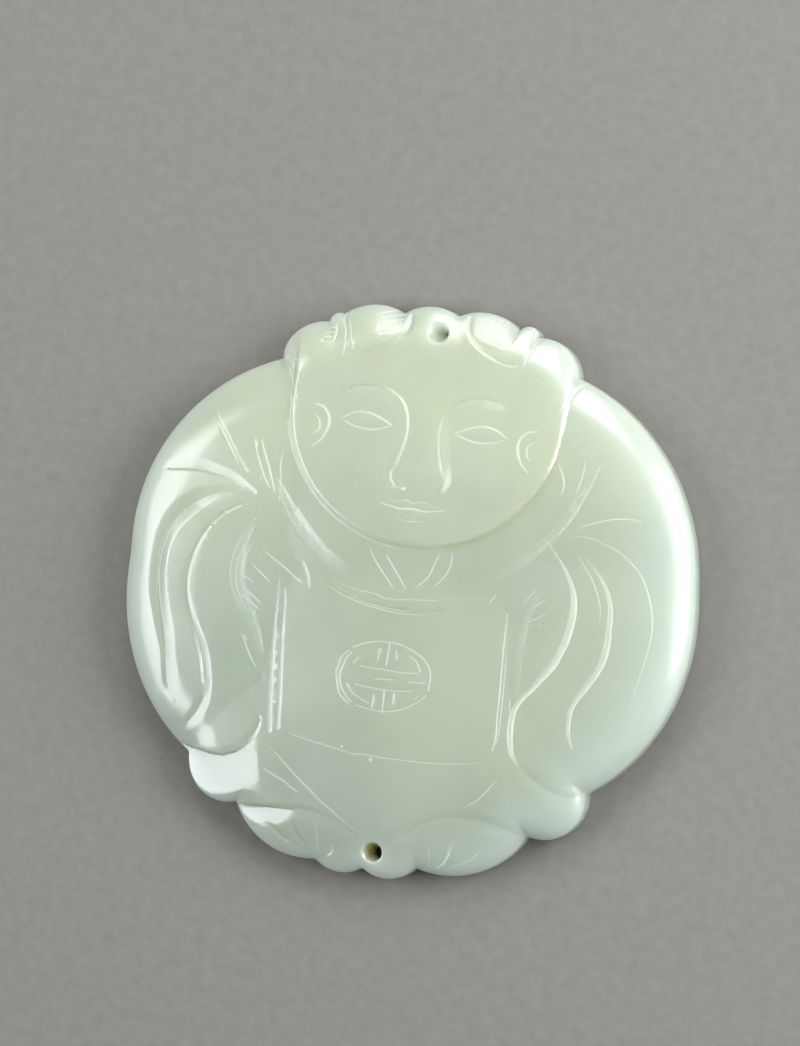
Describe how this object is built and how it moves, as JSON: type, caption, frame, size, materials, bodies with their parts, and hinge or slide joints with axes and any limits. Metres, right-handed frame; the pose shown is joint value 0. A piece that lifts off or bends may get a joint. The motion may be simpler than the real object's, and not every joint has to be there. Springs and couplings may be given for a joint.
{
  "type": "carved jade pendant",
  "caption": "Round carved jade pendant in the form of a squat boy with tied hair tufts and puffed sleeves, flat back, drilled for a cord at the crown and between the feet.",
  "frame": {"origin": "middle of the outline, on the flat back", "axes": "+Z out of the carved front and along both cord holes, +Y from the feet to the crown of the head, +X to the viewer's right as the front is seen"},
  "size_m": [0.0582, 0.0572, 0.0057],
  "materials": {
    "jade": "waxy polish, translucent, with finely ground lines"
  },
  "bodies": {
    "root": {"jade_pendant": "jade"}
  },
  "joints": []
}
